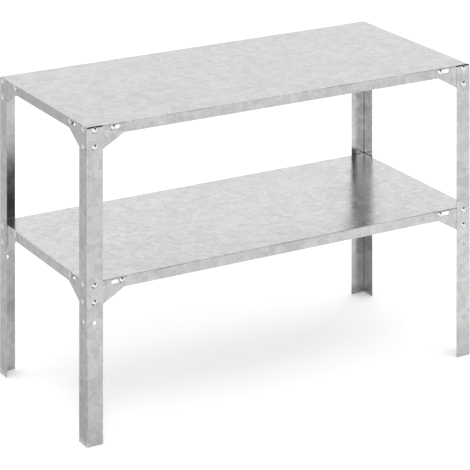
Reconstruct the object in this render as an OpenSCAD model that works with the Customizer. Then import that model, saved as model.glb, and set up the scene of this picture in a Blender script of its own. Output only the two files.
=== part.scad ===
// Two-tier work table in galvanised sheet steel, bolted together from two shelf trays,
// four angle legs and a pair of gusset plates at every corner of every shelf.
// The origin is on the floor at the centre of the footprint. +X runs along the length,
// +Y towards the back and +Z up.

/* [Table] */
// Length over the legs
table_w = 1100; // [600:10:1600]
// Depth over the legs
table_d = 500; // [360:10:800]
// Height of the worktop
table_h = 750; // [600:10:950]
// Height of the lower shelf's surface
lower_h = 385; // [150:5:440]

/* [Sheet metal] */
// Thickness of every sheet
sheet = 1; // [0.8:0.1:1.4]
// Outside radius of every bend
bend_r = 1.5; // [1.5:0.25:3]
// Depth of the rim round each shelf
rim_h = 25; // [24:1:30]
// Width of each flange of a leg
leg_flange = 42; // [36:1:50]
// Gap in the unwelded corners of a tray
corner_gap = 0.6; // [0.4:0.1:1]
// Distance that the legs and plates stop below a shelf's surface
top_drop = 2.5; // [2:0.25:3]

/* [Gusset plates] */
// Distance that a plate reaches from the leg's corner
plate_reach = 105; // [102:1:140]
// Depth of a plate below the shelf's surface
plate_drop = 61; // [58:1:80]
// Depth of a plate's outer end below the shelf's surface
plate_end_drop = 24; // [18:1:24]
// Length of a plate's bottom edge behind the leg
plate_foot = 34; // [28:1:40]

/* [Holes] */
// Diameter of the round holes
hole_d = 9; // [8.6:0.1:9.5]
// Height of the slots
slot_h = 9; // [8.6:0.1:9.6]
// Start of a slot, measured from the leg's corner
slot_start = 65; // [60:1:70]
// End of a slot, measured from the leg's corner
slot_end = 98; // [90:1:98]
// End of the one shorter rim slot, at the front left of the worktop
short_slot_end = 87; // [80:1:90]
// Distance of the leg's holes from its corner
hole_u = 20; // [18:1:24]
// Depth of the upper holes and slots below the shelf's surface
upper_v = 9; // [8:0.5:11]
// Depth of the lower holes below the shelf's surface
lower_v = 49; // [44:1:52]
// Depth of the legs' spare holes below the lower shelf's surface
spare_v = 96; // [90:1:120]

/* [Fasteners] */
// Thread diameter of the bolts
bolt_d = 8; // [6:1:8]
// Length of the bolts under the head
bolt_len = 12; // [11:1:15]
// Diameter of the domed heads
head_d = 15; // [13:0.5:16]
// Height of the domed heads
head_h = 3.6; // [3:0.1:4.5]
// Width of the nuts across the flats
nut_af = 13; // [10:1:13]
// Height of the nuts
nut_h = 6.5; // [5:0.5:7]

/* [Hidden] */
$fn = 48;

// Signs that pick a corner of the footprint
left = -1;
right = 1;
front = -1;
back = 1;

// Layers at a corner, from the outside in: leg flange, gusset plate, tray rim
plate_y = sheet;
rim_y = 2 * sheet;
stack_in_rim = 3 * sheet;
stack_below_rim = 2 * sheet;

// Flat metal starts this far from a leg's corner
flat_start = bend_r + sheet;
through = 60; // reach of every cutting tool past the sheet
eps = 0.01;

// A slot's bolt sits near the slot's outer end, except where the rim's slot is short
slot_bolt_out = slot_end - 5.5;
slot_bolt_in = slot_start + 4.8;

// ---- Places -------------------------------------------------------------

// Moves a shape drawn for the front left corner to any corner
module at_corner(side_x, side_y) {
    translate([side_x * table_w / 2, side_y * table_d / 2, 0])
        mirror([side_x > 0 ? 1 : 0, 0, 0])
            mirror([0, side_y > 0 ? 1 : 0, 0])
                children();
}

// Turns a shape drawn on the long face of a corner onto its short face
module on_face(is_short) {
    mirror([is_short ? 1 : 0, is_short ? -1 : 0, 0])
        children();
}

// Stands a drawing of (distance from corner, height) up as a plate, y0 in from the outside
module plate(y0, thickness) {
    translate([0, y0 + thickness, 0])
        rotate([90, 0, 0])
            linear_extrude(thickness)
                children();
}

// ---- Holes and slots ----------------------------------------------------

module round_hole(u, z) {
    translate([u, through, z])
        rotate([90, 0, 0])
            cylinder(d = hole_d, h = 2 * through);
}

module slot_hole(z, end = slot_end) {
    translate([0, through, z])
        rotate([90, 0, 0])
            linear_extrude(2 * through)
                union() {
                    for (u = [slot_start + slot_h / 2, end - slot_h / 2])
                        translate([u, 0])
                            circle(d = slot_h);
                    translate([slot_start + slot_h / 2, -slot_h / 2])
                        square([end - slot_start - slot_h, slot_h]);
                }
}

// Every hole that a rim has at one corner face
module rim_holes(surface, slot_far_end) {
    round_hole(hole_u, surface - upper_v);
    slot_hole(surface - upper_v, slot_far_end);
}

// Only the long rim at the front left of the worktop has the shorter slot
function rim_slot_end(surface, side_x, side_y, is_short) =
    surface == table_h && side_x == left && side_y == front && !is_short
        ? short_slot_end : slot_end;

// ---- Shelf trays --------------------------------------------------------

// Cross-section of a tray across one of its sides, with the bent edges at the top
module tray_section(width, height, radius) {
    union() {
        translate([-width / 2, -height])
            square([width, height - radius]);
        translate([-width / 2 + radius, -radius])
            square([width - 2 * radius, radius]);
        for (side = [-1, 1])
            translate([side * (width / 2 - radius), -radius])
                circle(r = radius);
    }
}

// Block with rounded top edges, its top at the origin
module tray_block(length, depth, height, radius) {
    intersection() {
        translate([0, depth / 2, 0])
            rotate([90, 0, 0])
                linear_extrude(depth)
                    tray_section(length, height, radius);
        translate([-length / 2, 0, 0])
            rotate([90, 0, 90])
                linear_extrude(length)
                    tray_section(depth, height, radius);
    }
}

// Open seam where two rims meet, below the bend
module corner_seam(surface) {
    translate([rim_y, rim_y, surface - rim_h - eps])
        rotate([0, 0, 45])
            translate([-sheet, -corner_gap / 2, 0])
                cube([4 * sheet, corner_gap, rim_h - 2 * bend_r]);
}

module tray(surface) {
    length = table_w - 2 * rim_y;
    depth = table_d - 2 * rim_y;
    color("silver")
        difference() {
            translate([0, 0, surface])
                tray_block(length, depth, rim_h, bend_r);
            translate([0, 0, surface - sheet])
                tray_block(length - 2 * sheet, depth - 2 * sheet, rim_h, bend_r - sheet);
            for (side_x = [left, right])
                for (side_y = [front, back])
                    at_corner(side_x, side_y) {
                        corner_seam(surface);
                        for (is_short = [false, true])
                            on_face(is_short)
                                rim_holes(surface, rim_slot_end(surface, side_x, side_y, is_short));
                    }
        }
}

module top_shelf() { tray(table_h); }
module lower_shelf() { tray(lower_h); }

// ---- Legs ---------------------------------------------------------------

// Angle profile of a leg, its outer corner at the origin
module leg_section() {
    difference() {
        union() {
            translate([bend_r, 0])
                square([leg_flange - bend_r, sheet]);
            translate([0, bend_r])
                square([sheet, leg_flange - bend_r]);
            intersection() {
                translate([bend_r, bend_r])
                    circle(r = bend_r);
                square(bend_r);
            }
        }
        translate([bend_r, bend_r])
            circle(r = bend_r - sheet);
    }
}

module leg(side_x, side_y) {
    color("gainsboro")
        at_corner(side_x, side_y)
            difference() {
                linear_extrude(table_h - top_drop)
                    leg_section();
                for (is_short = [false, true])
                    on_face(is_short) {
                        for (surface = [table_h, lower_h])
                            for (v = [upper_v, lower_v])
                                round_hole(hole_u, surface - v);
                        round_hole(hole_u, lower_h - spare_v);
                    }
            }
}

// ---- Gusset plates ------------------------------------------------------

module gusset(surface, side_x, side_y, is_short) {
    end_slope_start = plate_reach - 5;
    color("lightgray")
        at_corner(side_x, side_y)
            on_face(is_short)
                difference() {
                    plate(plate_y, sheet)
                        polygon([
                            [flat_start, surface - top_drop],
                            [plate_reach, surface - top_drop],
                            [plate_reach, surface - plate_end_drop],
                            [end_slope_start, surface - plate_end_drop],
                            [plate_foot, surface - plate_drop],
                            [flat_start, surface - plate_drop]
                        ]);
                    slot_hole(surface - upper_v);
                    for (v = [upper_v, lower_v])
                        round_hole(hole_u, surface - v);
                }
}

// ---- Bolts and nuts -----------------------------------------------------

// Places a fastener drawn along +Z at (u, y, z) so that it points into the table
module pointing_in(u, y, z) {
    translate([u, y, z])
        rotate([-90, 0, 0])
            children();
}

// Domed head above the origin plane, shank below it along +Z
module bolt() {
    dome_r = (head_d * head_d / 4 + head_h * head_h) / (2 * head_h);
    union() {
        cylinder(d = bolt_d, h = bolt_len);
        intersection() {
            translate([0, 0, dome_r - head_h])
                sphere(r = dome_r);
            translate([0, 0, -head_h])
                cylinder(d = head_d, h = head_h);
        }
    }
}

module nut() {
    difference() {
        cylinder(d = nut_af / cos(30), h = nut_h, $fn = 6);
        translate([0, 0, -eps])
            cylinder(d = bolt_d + 0.1, h = nut_h + 2 * eps);
    }
}

// The three fastener places on one face: two through the leg, one through the slot
module on_each_place(surface, slot_u, is_nut) {
    pointing_in(hole_u, is_nut ? stack_in_rim : 0, surface - upper_v)
        children();
    pointing_in(hole_u, is_nut ? stack_below_rim : 0, surface - lower_v)
        children();
    pointing_in(slot_u, is_nut ? stack_in_rim : plate_y, surface - upper_v)
        children();
}

// Three bolts on each face of one corner
module bolts(surface, side_x, side_y, slot_u = slot_bolt_out) {
    color("whitesmoke")
        at_corner(side_x, side_y) {
            on_each_place(surface, slot_u, false)
                bolt();
            on_face(true)
                on_each_place(surface, slot_bolt_out, false)
                    bolt();
        }
}

// Three nuts on each face of one corner
module nuts(surface, side_x, side_y, slot_u = slot_bolt_out) {
    color("darkgray")
        at_corner(side_x, side_y) {
            on_each_place(surface, slot_u, true)
                nut();
            on_face(true)
                on_each_place(surface, slot_bolt_out, true)
                    nut();
        }
}

// ---- Assembly -----------------------------------------------------------

top_shelf();
lower_shelf();

leg(left, front);  // leg_front_left
leg(right, front);  // leg_front_right
leg(left, back);  // leg_back_left
leg(right, back);  // leg_back_right

gusset(table_h, left, front, false);  // top_gusset_front_left
gusset(table_h, right, front, false);  // top_gusset_front_right
gusset(table_h, left, back, false);  // top_gusset_back_left
gusset(table_h, right, back, false);  // top_gusset_back_right
gusset(table_h, left, front, true);  // top_gusset_left_front
gusset(table_h, left, back, true);  // top_gusset_left_back
gusset(table_h, right, front, true);  // top_gusset_right_front
gusset(table_h, right, back, true);  // top_gusset_right_back

gusset(lower_h, left, front, false);  // lower_gusset_front_left
gusset(lower_h, right, front, false);  // lower_gusset_front_right
gusset(lower_h, left, back, false);  // lower_gusset_back_left
gusset(lower_h, right, back, false);  // lower_gusset_back_right
gusset(lower_h, left, front, true);  // lower_gusset_left_front
gusset(lower_h, left, back, true);  // lower_gusset_left_back
gusset(lower_h, right, front, true);  // lower_gusset_right_front
gusset(lower_h, right, back, true);  // lower_gusset_right_back

bolts(table_h, left, front, slot_bolt_in);  // top_bolts_front_left
bolts(table_h, right, front);  // top_bolts_front_right
bolts(table_h, left, back);  // top_bolts_back_left
bolts(table_h, right, back);  // top_bolts_back_right
bolts(lower_h, left, front);  // lower_bolts_front_left
bolts(lower_h, right, front);  // lower_bolts_front_right
bolts(lower_h, left, back);  // lower_bolts_back_left
bolts(lower_h, right, back);  // lower_bolts_back_right

nuts(table_h, left, front, slot_bolt_in);  // top_nuts_front_left
nuts(table_h, right, front);  // top_nuts_front_right
nuts(table_h, left, back);  // top_nuts_back_left
nuts(table_h, right, back);  // top_nuts_back_right
nuts(lower_h, left, front);  // lower_nuts_front_left
nuts(lower_h, right, front);  // lower_nuts_front_right
nuts(lower_h, left, back);  // lower_nuts_back_left
nuts(lower_h, right, back);  // lower_nuts_back_right
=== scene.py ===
import math

import bmesh
import bpy
from mathutils import Matrix, Vector


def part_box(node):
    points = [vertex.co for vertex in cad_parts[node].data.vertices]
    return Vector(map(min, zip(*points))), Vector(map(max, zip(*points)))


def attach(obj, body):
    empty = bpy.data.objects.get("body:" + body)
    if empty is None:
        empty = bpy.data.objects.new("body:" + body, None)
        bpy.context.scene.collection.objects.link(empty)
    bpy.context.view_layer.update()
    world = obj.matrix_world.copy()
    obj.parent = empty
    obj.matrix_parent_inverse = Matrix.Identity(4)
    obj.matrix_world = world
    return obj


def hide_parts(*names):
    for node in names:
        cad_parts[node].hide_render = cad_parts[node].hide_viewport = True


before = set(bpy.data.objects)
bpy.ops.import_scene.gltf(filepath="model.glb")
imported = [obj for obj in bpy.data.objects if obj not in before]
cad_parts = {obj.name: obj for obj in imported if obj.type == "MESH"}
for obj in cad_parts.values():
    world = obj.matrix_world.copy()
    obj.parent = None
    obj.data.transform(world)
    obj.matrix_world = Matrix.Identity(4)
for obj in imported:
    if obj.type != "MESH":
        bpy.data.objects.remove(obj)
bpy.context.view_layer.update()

# ---- Camera -------------------------------------------------------------

CAMERA_PLACE = Vector((-2.9254, -5.0843, 2.3809))
CAMERA_TURN = math.radians(29.861)  # to the right of +Y
CAMERA_FALL = 0.35  # how far the view drops per metre ahead
CAMERA_LENS = 186.07  # mm
CAMERA_SENSOR = 36  # mm
CAMERA_REACH = 100  # how far it sees


def make_camera():
    """A camera that looks down with its picture plane upright, so that upright legs stay parallel.

    The picture plane's tilt against the view is a fixed shear, held by the camera's parent.
    """
    data = bpy.data.cameras.new("camera")
    data.sensor_width = CAMERA_SENSOR
    data.lens = CAMERA_LENS
    data.clip_end = CAMERA_REACH
    camera = bpy.data.objects.new("camera", data)
    holder = bpy.data.objects.new("camera_holder", None)
    for item in (camera, holder):
        bpy.context.collection.objects.link(item)
    right = Vector((math.cos(CAMERA_TURN), -math.sin(CAMERA_TURN), 0))
    up = Vector((0, 0, 1))
    ahead = Vector((math.sin(CAMERA_TURN), math.cos(CAMERA_TURN), -CAMERA_FALL)).normalized()
    sheared = Matrix.Identity(4)
    for column, axis in enumerate((right, up, -ahead, CAMERA_PLACE)):
        for row in range(3):
            sheared[row][column] = axis[row]
    camera.parent = holder
    camera.matrix_parent_inverse = sheared
    bpy.context.scene.camera = camera


# ---- Studio -------------------------------------------------------------

# Zinc shows mostly what it reflects, so the studio has plain cards that only reflections see.

FLOOR_HALF = 30
FLOOR_GREY = 0.95
FLOOR_GLOW = 0.13  # a little light of its own, which keeps the floor's shadow soft
SKY_STRENGTH = 1.13
CARD_DISTANCE = 10.0  # from the table's middle to each standing card
SHEET_STEP = 0.001  # from one layer of sheets on the floor to the next


def emission(name, strength):
    """A plain material that gives white light, or is black at strength 0."""
    material = bpy.data.materials.new(name)
    material.use_nodes = True
    tree = material.node_tree
    tree.nodes.clear()
    glow = tree.nodes.new("ShaderNodeEmission")
    glow.inputs["Color"].default_value = (1, 1, 1, 1)
    glow.inputs["Strength"].default_value = strength
    out = tree.nodes.new("ShaderNodeOutputMaterial")
    tree.links.new(glow.outputs[0], out.inputs[0])
    return material


def matt(name, grey):
    """A plain matt material."""
    material = bpy.data.materials.new(name)
    material.use_nodes = True
    shader = material.node_tree.nodes["Principled BSDF"]
    shader.inputs["Base Color"].default_value = (grey, grey, grey, 1)
    shader.inputs["Roughness"].default_value = 0.9
    shader.inputs["Specular IOR Level"].default_value = 0.1
    return material


def flat_face(name, corners, material):
    """An object of one flat face."""
    mesh = bpy.data.meshes.new(name)
    mesh.from_pydata(corners, [], [(0, 1, 2, 3)])
    mesh.materials.append(material)
    face = bpy.data.objects.new(name, mesh)
    bpy.context.collection.objects.link(face)
    return face


def make_card(name, corners, material):
    """A flat card that only reflections see."""
    card = flat_face(name, corners, material)
    card.visible_camera = False
    card.visible_diffuse = False
    card.visible_shadow = False


def level_corners(low, high, height):
    """The corners of a level rectangle, from its lowest and highest X and Y."""
    return [(low[0], low[1], height), (high[0], low[1], height),
            (high[0], high[1], height), (low[0], high[1], height)]


def standing_card(name, material, turn, width, low, high):
    """An upright card that faces the table: turn is in degrees to the right of the table's front."""
    angle = math.radians(turn)
    base = Vector((math.sin(angle), -math.cos(angle), 0)) * CARD_DISTANCE
    across = Vector((math.cos(angle), math.sin(angle), 0)) * width / 2
    corners = [
        base - across + Vector((0, 0, low)), base + across + Vector((0, 0, low)),
        base + across + Vector((0, 0, high)), base - across + Vector((0, 0, high)),
    ]
    make_card(name, corners, material)


def floor_sheet(name, grey, low, high, layer):
    """A matt card that lies on the floor, over the sheets of lower layers."""
    make_card(name, level_corners(low, high, layer * SHEET_STEP), matt(name, grey))


def area_light(name, place, aim, size, power):
    """A soft square light that reflections don't show."""
    data = bpy.data.lights.new(name, "AREA")
    data.shape = "SQUARE"
    data.size = size
    data.energy = power
    light = bpy.data.objects.new(name, data)
    bpy.context.collection.objects.link(light)
    light.location = place
    light.visible_camera = False
    light.visible_glossy = False
    light.rotation_mode = "QUATERNION"
    light.rotation_quaternion = (Vector(aim) - Vector(place)).to_track_quat("-Z", "Y")


def around(turn, rise, distance):
    """A place round the table: turn is to the right of its front and rise above the floor, in degrees."""
    turn, rise = math.radians(turn), math.radians(rise)
    out = Vector((math.sin(turn), -math.cos(turn), 0)) * math.cos(rise)
    return (out + Vector((0, 0, math.sin(rise)))) * distance


def make_sky():
    """An even white sky, shown with plain colours."""
    world = bpy.data.worlds.new("studio")
    world.use_nodes = True
    sky = world.node_tree.nodes["Background"]
    sky.inputs["Color"].default_value = (1, 1, 1, 1)
    sky.inputs["Strength"].default_value = SKY_STRENGTH
    bpy.context.scene.world = world
    bpy.context.scene.view_settings.view_transform = "Standard"


def make_floor():
    """The pale floor that the table stands on."""
    paper = matt("floor", FLOOR_GREY)
    shader = paper.node_tree.nodes["Principled BSDF"]
    shader.inputs["Emission Color"].default_value = (1, 1, 1, 1)
    shader.inputs["Emission Strength"].default_value = FLOOR_GLOW
    corners = level_corners((-FLOOR_HALF, -FLOOR_HALF), (FLOOR_HALF, FLOOR_HALF), 0)
    floor = flat_face("floor", corners, paper)


def make_floor_sheets():
    """What the upright faces and the bolts reflect from below."""
    floor_sheet("floor_in_front", 0.86, low=(-5.0, -6.0), high=(5.0, 0.3), layer=1)
    floor_sheet("grey_sheet_left", 0.6, low=(-4.0, -0.7), high=(-0.56, 4.0), layer=2)
    floor_sheet("grey_sheet_near", 0.63, low=(-1.15, 0.1), high=(-0.56, 1.2), layer=3)
    # grey_sheet_front and grey_sheet_under are painted shadow: the table's shadow on the floor, made
    # deeper where the legs reflect it
    floor_sheet("grey_sheet_front", 0.57, low=(-0.2, -0.62), high=(0.45, 0.0), layer=2)
    floor_sheet("grey_sheet_under", 0.58, low=(-0.4, -0.42), high=(-0.2, -0.05), layer=2)
    floor_sheet("grey_sheet_far", 0.79, low=(-0.05, -2.4), high=(0.75, -1.15), layer=2)
    floor_sheet("pale_sheet_right", 0.97, low=(0.62, -1.0), high=(1.25, -0.38), layer=2)
    # the dark sheets are painted shadow on the floor round the front feet and in front of the table, seen
    # only in reflections
    floor_sheet("dark_sheet_left", 0.2, low=(-1.2, -1.0), high=(-0.52, -0.3), layer=3)
    floor_sheet("dark_sheet_front", 0.3, low=(0.1, -0.8), high=(0.5, -0.62), layer=3)


def make_standing_cards():
    """What the bolts, the bends and the inner faces of the back legs reflect from above."""
    black = emission("black_flag", 0)
    dim = emission("dim_card_left", 0.6)
    white = emission("key_card", 3.0)
    standing_card("flag_front_right", black, turn=27, width=4.6, low=1.6, high=6.4)
    standing_card("flag_high_front", black, turn=15, width=10.0, low=5.2, high=16.0)
    standing_card("flag_high_right", black, turn=69, width=9.0, low=5.2, high=16.0)
    standing_card("dim_card_left", dim, turn=-105, width=17.0, low=1.0, high=16.0)
    standing_card("key_card", white, turn=-25, width=3.4, low=1.9, high=5.6)


def make_lights():
    """Soft lights on the floor and its sheets, which throw the table's shadow."""
    front_left = around(turn=-32, rise=20, distance=9.0)
    back_right = around(turn=122, rise=20, distance=7.0)
    above_left = (-1.6, -2.6, 4.2)
    area_light("key", front_left, aim=(0, 0, 0.5), size=3.6, power=110)
    area_light("floor_light", above_left, aim=(-0.6, -1.2, 0), size=1.5, power=30)
    area_light("back", back_right, aim=(0.3, 0, 0.75), size=2.0, power=25)


def make_studio():
    make_sky()
    make_floor()
    make_floor_sheets()
    make_standing_cards()
    make_lights()


# ---- Materials ----------------------------------------------------------

def node(tree, kind, inputs=None, **settings):
    """Adds a shader node. An input is given a value, or a socket to link it to."""
    made = tree.nodes.new("ShaderNode" + kind)
    for key, value in settings.items():
        setattr(made, key, value)
    for key, value in (inputs or {}).items():
        if isinstance(value, bpy.types.NodeSocket):
            tree.links.new(value, made.inputs[key])
        else:
            made.inputs[key].default_value = value
    return made


def math_node(tree, operation, *values):
    """The result of one sum on values or sockets."""
    made = tree.nodes.new("ShaderNodeMath")
    made.operation = operation
    for socket, value in zip(made.inputs, values):
        if isinstance(value, bpy.types.NodeSocket):
            tree.links.new(value, socket)
        else:
            socket.default_value = value
    return made.outputs[0]


def remap(tree, value, low, high, to_low, to_high):
    """A value moved from one range to another, and held inside it."""
    return node(tree, "MapRange", {
        "Value": value, "From Min": low, "From Max": high, "To Min": to_low, "To Max": to_high,
    }).outputs["Result"]


def spread(tree, noise, low, high):
    """A noise, most of which lies between 0.3 and 0.7, moved to another range."""
    return remap(tree, noise, 0.3, 0.7, low, high)


def metal(name):
    """A new metal material, its node tree and its shader."""
    material = bpy.data.materials.new(name)
    material.use_nodes = True
    shader = material.node_tree.nodes["Principled BSDF"]
    shader.inputs["Metallic"].default_value = 1.0
    return material, material.node_tree, shader


def within(tree, value, low, high):
    """1 where a value lies between two limits, else 0."""
    above = math_node(tree, "GREATER_THAN", value, low)
    return math_node(tree, "MULTIPLY", above, math_node(tree, "LESS_THAN", value, high))


GAP_DEPTH = 0.0036  # from a leg's outer face in past the shelf's bend
FOLD_START = 0.0008  # from a leg's outer faces in to its inner corner
FOLD_END = 0.0026
# painted shade: how much darker the gap over a leg's end and the fold inside a leg are made
GAP_PAINTED_SHADE = 0.93
FOLD_PAINTED_SHADE = 0.4


def painted_crevice_shade(tree, place):
    """Painted shade: the mask of the gap over each leg's end and of the fold inside each leg, which are
    made darker.
    """
    low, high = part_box("leg_front_left")
    half_w, half_d, flange, leg_top = -low[0], -low[1], high[0] - low[0], high[2]
    past_face, past_end = 0.001, 0.0001  # a little more than the gap itself
    parts = node(tree, "SeparateXYZ", {"Vector": place})
    x = math_node(tree, "ABSOLUTE", parts.outputs["X"])
    y = math_node(tree, "ABSOLUTE", parts.outputs["Y"])
    gap = within(tree, x, half_w - flange, half_w)
    gap = math_node(tree, "MULTIPLY", gap, within(tree, y, half_d - GAP_DEPTH, half_d + past_face))
    above_leg = math_node(tree, "GREATER_THAN", parts.outputs["Z"], leg_top - past_end)
    gap = math_node(tree, "MULTIPLY", gap, above_leg)
    fold = within(tree, x, half_w - FOLD_END, half_w - FOLD_START)
    fold = math_node(tree, "MULTIPLY", fold, within(tree, y, half_d - FOLD_END, half_d - FOLD_START))
    fold = math_node(tree, "MULTIPLY", fold, FOLD_PAINTED_SHADE)
    return math_node(tree, "MULTIPLY_ADD", gap, GAP_PAINTED_SHADE, fold)


EDGE_WIDTH = 0.0012  # how far from an edge the rubbing and the painted bend highlight show


def worn_edges_and_painted_highlight(tree, patches):
    """Where the edges and bends are lightened, in patches: partly rubbed bright by handling, partly a
    painted highlight on the bends.
    """
    rounded = node(tree, "Bevel", {"Radius": EDGE_WIDTH}, samples=4).outputs[0]
    normal = node(tree, "NewGeometry").outputs["Normal"]
    alike = node(tree, "VectorMath", {0: rounded, 1: normal}, operation="DOT_PRODUCT").outputs["Value"]
    edge = remap(tree, alike, 0.99, 0.85, 0.0, 1.0)
    # the sheets lie square to the axes, so a normal slants only on a bend or a slanting cut
    facing = node(tree, "VectorMath", {0: normal}, operation="ABSOLUTE").outputs[0]
    slant = node(tree, "VectorMath", {0: facing, 1: (1, 1, 1)}, operation="DOT_PRODUCT").outputs["Value"]
    bend = remap(tree, slant, 1.03, 1.2, 0.0, 1.0)
    return math_node(tree, "MULTIPLY", math_node(tree, "MAXIMUM", edge, bend), patches)


# how many times each pattern repeats in a metre
CLOUD_SCALE = 9.0
WAVE_SCALE = 45.0
SPANGLE_SCALE = 62.0
GRAIN_SCALE = 160.0
SPOT_SCALE = 700.0

WAVE_SIZE = 0.012
GRAIN_TONE = 0.05
CLOUD_TONE = 0.01
# how much the edges and bends are lightened: partly wear, partly a painted highlight on the bends
WEAR_AND_HIGHLIGHT_TONE = 0.2
SHEET_ROUGHNESS = 0.22
CRYSTAL_ROUGHNESS = 0.06
CLOUD_ROUGHNESS = 0.03
WORN_ROUGHNESS = 0.3
# roughness added where the crevice shade is painted
CREVICE_SHADE_ROUGHNESS = 0.3


def spangle_cells(tree, place):
    """The zinc's crystals, with wavy outlines, as three random numbers for each crystal."""
    wave = node(tree, "TexNoise", {"Vector": place, "Scale": WAVE_SCALE, "Detail": 2.0})
    shift = node(tree, "VectorMath", {0: wave.outputs["Color"], 1: (WAVE_SIZE, WAVE_SIZE, WAVE_SIZE)},
                 operation="MULTIPLY").outputs[0]
    bent = node(tree, "VectorMath", {0: place, 1: shift}, operation="ADD").outputs[0]
    cells = node(tree, "TexVoronoi", {"Vector": bent, "Scale": SPANGLE_SCALE}, feature="F1")
    return node(tree, "SeparateColor", {"Color": cells.outputs["Color"]}).outputs


def galvanised(name, seed, grey, spangle_depth):
    """Hot-dip galvanised sheet: soft spangle, fine grain, cloudy patches, rubbed edges with a painted
    highlight on the bends, and painted shade in the gaps over the legs and in the legs' folds.
    """
    material, tree, shader = metal(name)
    place = node(tree, "TexCoord").outputs["Object"]
    # painted shade in the gap over each leg's end and in each leg's inner fold
    painted_shade = painted_crevice_shade(tree, place)
    own_start = (seed * 1.7, seed * 0.9, seed * 1.3)  # each material has its own part of the pattern
    place = node(tree, "Mapping", {"Vector": place, "Location": own_start}).outputs[0]
    crystal = spangle_cells(tree, place)
    clouds = node(tree, "TexNoise", {"Vector": place, "Scale": CLOUD_SCALE, "Detail": 3.0}).outputs["Fac"]
    grain = node(tree, "TexNoise", {"Vector": place, "Scale": GRAIN_SCALE, "Detail": 3.0}).outputs["Fac"]
    # rubbed edges, and a painted highlight along the bends
    wear_and_highlight = worn_edges_and_painted_highlight(tree, remap(tree, clouds, 0.35, 0.6, 0.3, 1.0))

    tone = math_node(tree, "MULTIPLY_ADD", crystal[0], spangle_depth, grey - spangle_depth / 2)
    tone = math_node(tree, "ADD", tone, spread(tree, grain, -GRAIN_TONE, GRAIN_TONE))
    tone = math_node(tree, "ADD", tone, spread(tree, clouds, -CLOUD_TONE, CLOUD_TONE))
    # lightens the edges and bends: wear, and a painted highlight on the bends
    tone = math_node(tree, "MULTIPLY_ADD", wear_and_highlight, WEAR_AND_HIGHLIGHT_TONE, tone)
    # the painted shade darkens the tone in the gap and the fold
    tone = math_node(tree, "MULTIPLY", tone, math_node(tree, "SUBTRACT", 1.0, painted_shade))
    tree.links.new(tone, shader.inputs["Base Color"])

    roughness = math_node(tree, "MULTIPLY_ADD", crystal[1], CRYSTAL_ROUGHNESS,
                          SHEET_ROUGHNESS - CRYSTAL_ROUGHNESS / 2)
    roughness = math_node(tree, "ADD", roughness, spread(tree, clouds, CLOUD_ROUGHNESS, -CLOUD_ROUGHNESS))
    roughness = math_node(tree, "MULTIPLY_ADD", wear_and_highlight, WORN_ROUGHNESS, roughness)
    roughness = math_node(tree, "MULTIPLY_ADD", painted_shade, CREVICE_SHADE_ROUGHNESS, roughness)
    tree.links.new(roughness, shader.inputs["Roughness"])

    height = math_node(tree, "MULTIPLY_ADD", grain, 0.6, crystal[2])
    bump = node(tree, "Bump", {"Height": height, "Strength": 0.03, "Distance": 0.0005})
    tree.links.new(bump.outputs[0], shader.inputs["Normal"])
    return material


def bright_zinc(name, grey, rough):
    """Smooth electroplated zinc of the bolts and nuts, with small dull spots."""
    material, tree, shader = metal(name)
    place = node(tree, "TexCoord").outputs["Object"]
    spots = node(tree, "TexNoise", {"Vector": place, "Scale": SPOT_SCALE, "Detail": 3.0}).outputs["Fac"]
    tone = spread(tree, spots, grey - 0.04, grey + 0.03)
    roughness = spread(tree, spots, rough - 0.03, rough + 0.05)
    tree.links.new(tone, shader.inputs["Base Color"])
    tree.links.new(roughness, shader.inputs["Roughness"])
    return material


def give(part, material):
    """Puts one material on every face of a part."""
    if not part.data.materials:
        part.data.materials.append(material)
    for slot in part.material_slots:
        slot.material = material


def finish_sheet_metal():
    """Gives each CAD node of sheet metal the look of its kind."""
    looks = {
        # the top tray's grey is darker and the lower tray's lighter, as painted light: the lower shelf
        # gets less light under the top one
        "top_shelf": galvanised("galvanised_top_tray", seed=1, grey=0.517, spangle_depth=0.085),
        "lower_shelf": galvanised("galvanised_lower_tray", seed=4, grey=0.555, spangle_depth=0.085),
        "leg": galvanised("galvanised_leg", seed=2, grey=0.535, spangle_depth=0.11),
        "gusset": galvanised("galvanised_gusset", seed=3, grey=0.54, spangle_depth=0.11),
    }
    for name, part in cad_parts.items():
        for kind, material in looks.items():
            if kind in name:
                give(part, material)


# ---- Fasteners ----------------------------------------------------------

def solids_of(cad_node):
    """The lowest and highest corners of each separate solid in a CAD node."""
    mesh = bmesh.new()
    mesh.from_mesh(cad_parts[cad_node].data)
    bmesh.ops.remove_doubles(mesh, verts=mesh.verts, dist=1e-5)
    boxes = []
    waiting = set(mesh.verts)
    while waiting:
        solid, reached = set(), [waiting.pop()]
        while reached:
            vert = reached.pop()
            solid.add(vert)
            for edge in vert.link_edges:
                other = edge.other_vert(vert)
                if other in waiting:
                    waiting.remove(other)
                    reached.append(other)
        boxes.append((
            Vector([min(v.co[i] for v in solid) for i in range(3)]),
            Vector([max(v.co[i] for v in solid) for i in range(3)]),
        ))
    mesh.free()
    return sorted(boxes, key=lambda box: tuple(round(c, 4) for c in box[0]))


def lathe(profile, segments, cut):
    """A closed round mesh from (radius, height) points, less what cut takes off at each point."""
    mesh = bmesh.new()
    rings = []
    for radius, height in profile:
        ring = []
        for i in range(segments):
            angle = 2 * math.pi * i / segments
            r = radius - cut(height, angle)
            ring.append(mesh.verts.new((r * math.cos(angle), r * math.sin(angle), height)))
        rings.append(ring)
    for low, high in zip(rings, rings[1:]):
        for i in range(segments):
            j = (i + 1) % segments
            mesh.faces.new((low[i], low[j], high[j], high[i]))
    mesh.faces.new(reversed(rings[0]))
    mesh.faces.new(rings[-1])
    bmesh.ops.recalc_face_normals(mesh, faces=mesh.faces)
    return mesh


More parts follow.
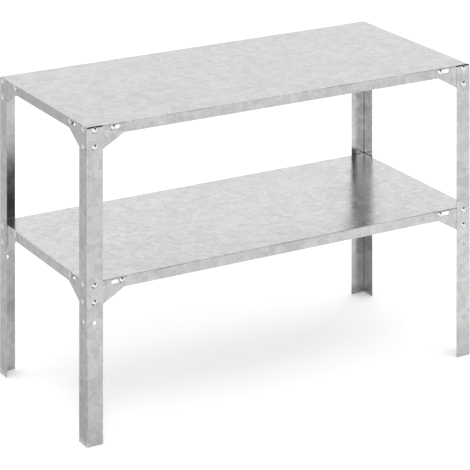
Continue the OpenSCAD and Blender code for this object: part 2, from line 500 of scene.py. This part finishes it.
def fasteners(kind, shape):
    """One piece per CAD node of bolts or nuts, with the detailed shape where each solid is."""
    for name in [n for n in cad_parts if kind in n.split("_")]:
        mesh = bmesh.new()
        for count, (low, high) in enumerate(solids_of(name)):
            start = len(mesh.verts)
            mesh.from_mesh(shape)
            mesh.verts.ensure_lookup_table()
            bmesh.ops.transform(mesh, matrix=seat_matrix(low, high, kind, count),
                                verts=mesh.verts[start:])
        data = bpy.data.meshes.new(name + "_detailed")
        mesh.to_mesh(data)
        mesh.free()
        data.materials.append(shape.materials[0])
        piece = bpy.data.objects.new(name + "_detailed", data)
        bpy.context.collection.objects.link(piece)
        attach(piece, "root")
        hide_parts(name)


# each fastener is tightened to its own angle, in degrees
FIRST_SPIN = 13
SPIN_STEP = 47


def seat_matrix(low, high, kind, count):
    """Turns a shape drawn along +Z to point into the table, seated where the solid starts."""
    size, centre = high - low, (low + high) / 2
    # a bolt is longest along its own line, and a nut is shortest
    pick = max if kind == "bolts" else min
    axis = pick((0, 1), key=lambda i: size[i])
    inward = Vector((0, 0, 0))
    inward[axis] = -math.copysign(1, centre[axis])
    seat = centre.copy()
    seat[axis] -= inward[axis] * size[axis] / 2
    up = Vector((0, 0, 1))
    basis = Matrix((up.cross(inward), up, inward)).transposed().to_4x4()
    spin = Matrix.Rotation(math.radians(FIRST_SPIN + SPIN_STEP * count), 4, "Z")
    return Matrix.Translation(seat) @ basis @ spin


BOLT_HEAD_R = 0.0075
BOLT_HEAD_H = 0.0036
HEAD_RIM = 0.0004  # the dome's edge stands this far off the sheet
HEAD_ROUNDING = 0.0004
BOLT_LENGTH = 0.012
BOLT_R = 0.004
THREAD_PITCH = 0.00125
THREAD_DEPTH = 0.0007
THREAD_START = BOLT_HEAD_H + 0.0032
BOLT_END = BOLT_HEAD_H + BOLT_LENGTH
POINT_LENGTH = 0.0005  # the tapered end of the shank
THREAD_END = BOLT_END - POINT_LENGTH - 0.0001


def thread_cut(height, angle):
    """How deep the screw thread cuts into the shank at a height and an angle."""
    if height < THREAD_START or height > THREAD_END:
        return 0
    wave = (height / THREAD_PITCH - angle / (2 * math.pi)) % 1
    fade = min(1, (height - THREAD_START) / THREAD_PITCH)
    return THREAD_DEPTH * fade * (1 - abs(2 * wave - 1))


def bolt_profile():
    """A bolt's outline as (radius, height) points, from its head's top at height 0 down its shank."""
    crown = BOLT_HEAD_H - HEAD_RIM
    dome_r = (BOLT_HEAD_R ** 2 + crown ** 2) / (2 * crown)
    dome_angle = math.asin(BOLT_HEAD_R / dome_r)
    steps = 14
    first_step = 0.15  # leaves a small flat on the dome's top
    profile = []
    for i in range(steps + 1):
        angle = dome_angle * max(i, first_step) / steps
        profile.append((dome_r * math.sin(angle), dome_r * (1 - math.cos(angle))))
    profile.append((BOLT_HEAD_R - 0.375 * HEAD_ROUNDING, BOLT_HEAD_H - 0.25 * HEAD_ROUNDING))
    profile.append((BOLT_HEAD_R - HEAD_ROUNDING, BOLT_HEAD_H))
    profile.append((BOLT_R, BOLT_HEAD_H))
    rings_per_turn = 8
    height = THREAD_START
    while height < THREAD_END:
        profile.append((BOLT_R, height))
        height += THREAD_PITCH / rings_per_turn
    profile.append((BOLT_R - 0.0002, BOLT_END - POINT_LENGTH))
    profile.append((BOLT_R - THREAD_DEPTH, BOLT_END))
    return profile


def bolt_shape():
    """Domed bolt with its head's top at the origin, its shank along +Z and a real screw thread."""
    mesh = lathe(bolt_profile(), segments=32, cut=thread_cut)
    for face in mesh.faces:
        face.smooth = True
    data = bpy.data.meshes.new("bolt_shape")
    mesh.to_mesh(data)
    mesh.free()
    data.materials.append(bright_zinc("bolt_zinc", grey=0.76, rough=0.05))
    return data


NUT_FLATS_R = 0.0065
NUT_HEIGHT = 0.0065
NUT_CHAMFER_R = NUT_FLATS_R * 0.96  # the round face inside the chamfer
NUT_CHAMFER_SLOPE = math.tan(math.radians(30))
NUT_BORE_R = BOLT_R + 0.00005
NUT_COUNTERSINK = 0.0005


def nut_shape():
    """Hexagon nut standing on the origin, with both faces chamfered and a countersunk bore."""
    mesh = bmesh.new()
    segments = 72
    mouth = NUT_BORE_R + NUT_COUNTERSINK
    columns = []
    for i in range(segments):
        angle = 2 * math.pi * i / segments
        off_flat = (angle + math.pi / 6) % (math.pi / 3) - math.pi / 6
        outer = NUT_FLATS_R / math.cos(off_flat)
        drop = (outer - NUT_CHAMFER_R) * NUT_CHAMFER_SLOPE
        column = [
            (NUT_BORE_R, NUT_COUNTERSINK), (mouth, 0), (NUT_CHAMFER_R, 0), (outer, drop),
            (outer, NUT_HEIGHT - drop), (NUT_CHAMFER_R, NUT_HEIGHT), (mouth, NUT_HEIGHT),
            (NUT_BORE_R, NUT_HEIGHT - NUT_COUNTERSINK),
        ]
        columns.append([mesh.verts.new((r * math.cos(angle), r * math.sin(angle), h))
                        for r, h in column])
    for i, column in enumerate(columns):
        after = columns[(i + 1) % segments]
        for j in range(len(column)):
            k = (j + 1) % len(column)
            mesh.faces.new((column[j], after[j], after[k], column[k]))
    bmesh.ops.recalc_face_normals(mesh, faces=mesh.faces)
    data = bpy.data.meshes.new("nut_shape")
    mesh.to_mesh(data)
    mesh.free()
    data.materials.append(bright_zinc("nut_zinc", grey=0.6, rough=0.16))
    return data


# ---- The scene ----------------------------------------------------------

make_camera()
make_studio()
finish_sheet_metal()
fasteners("bolts", bolt_shape())
fasteners("nuts", nut_shape())
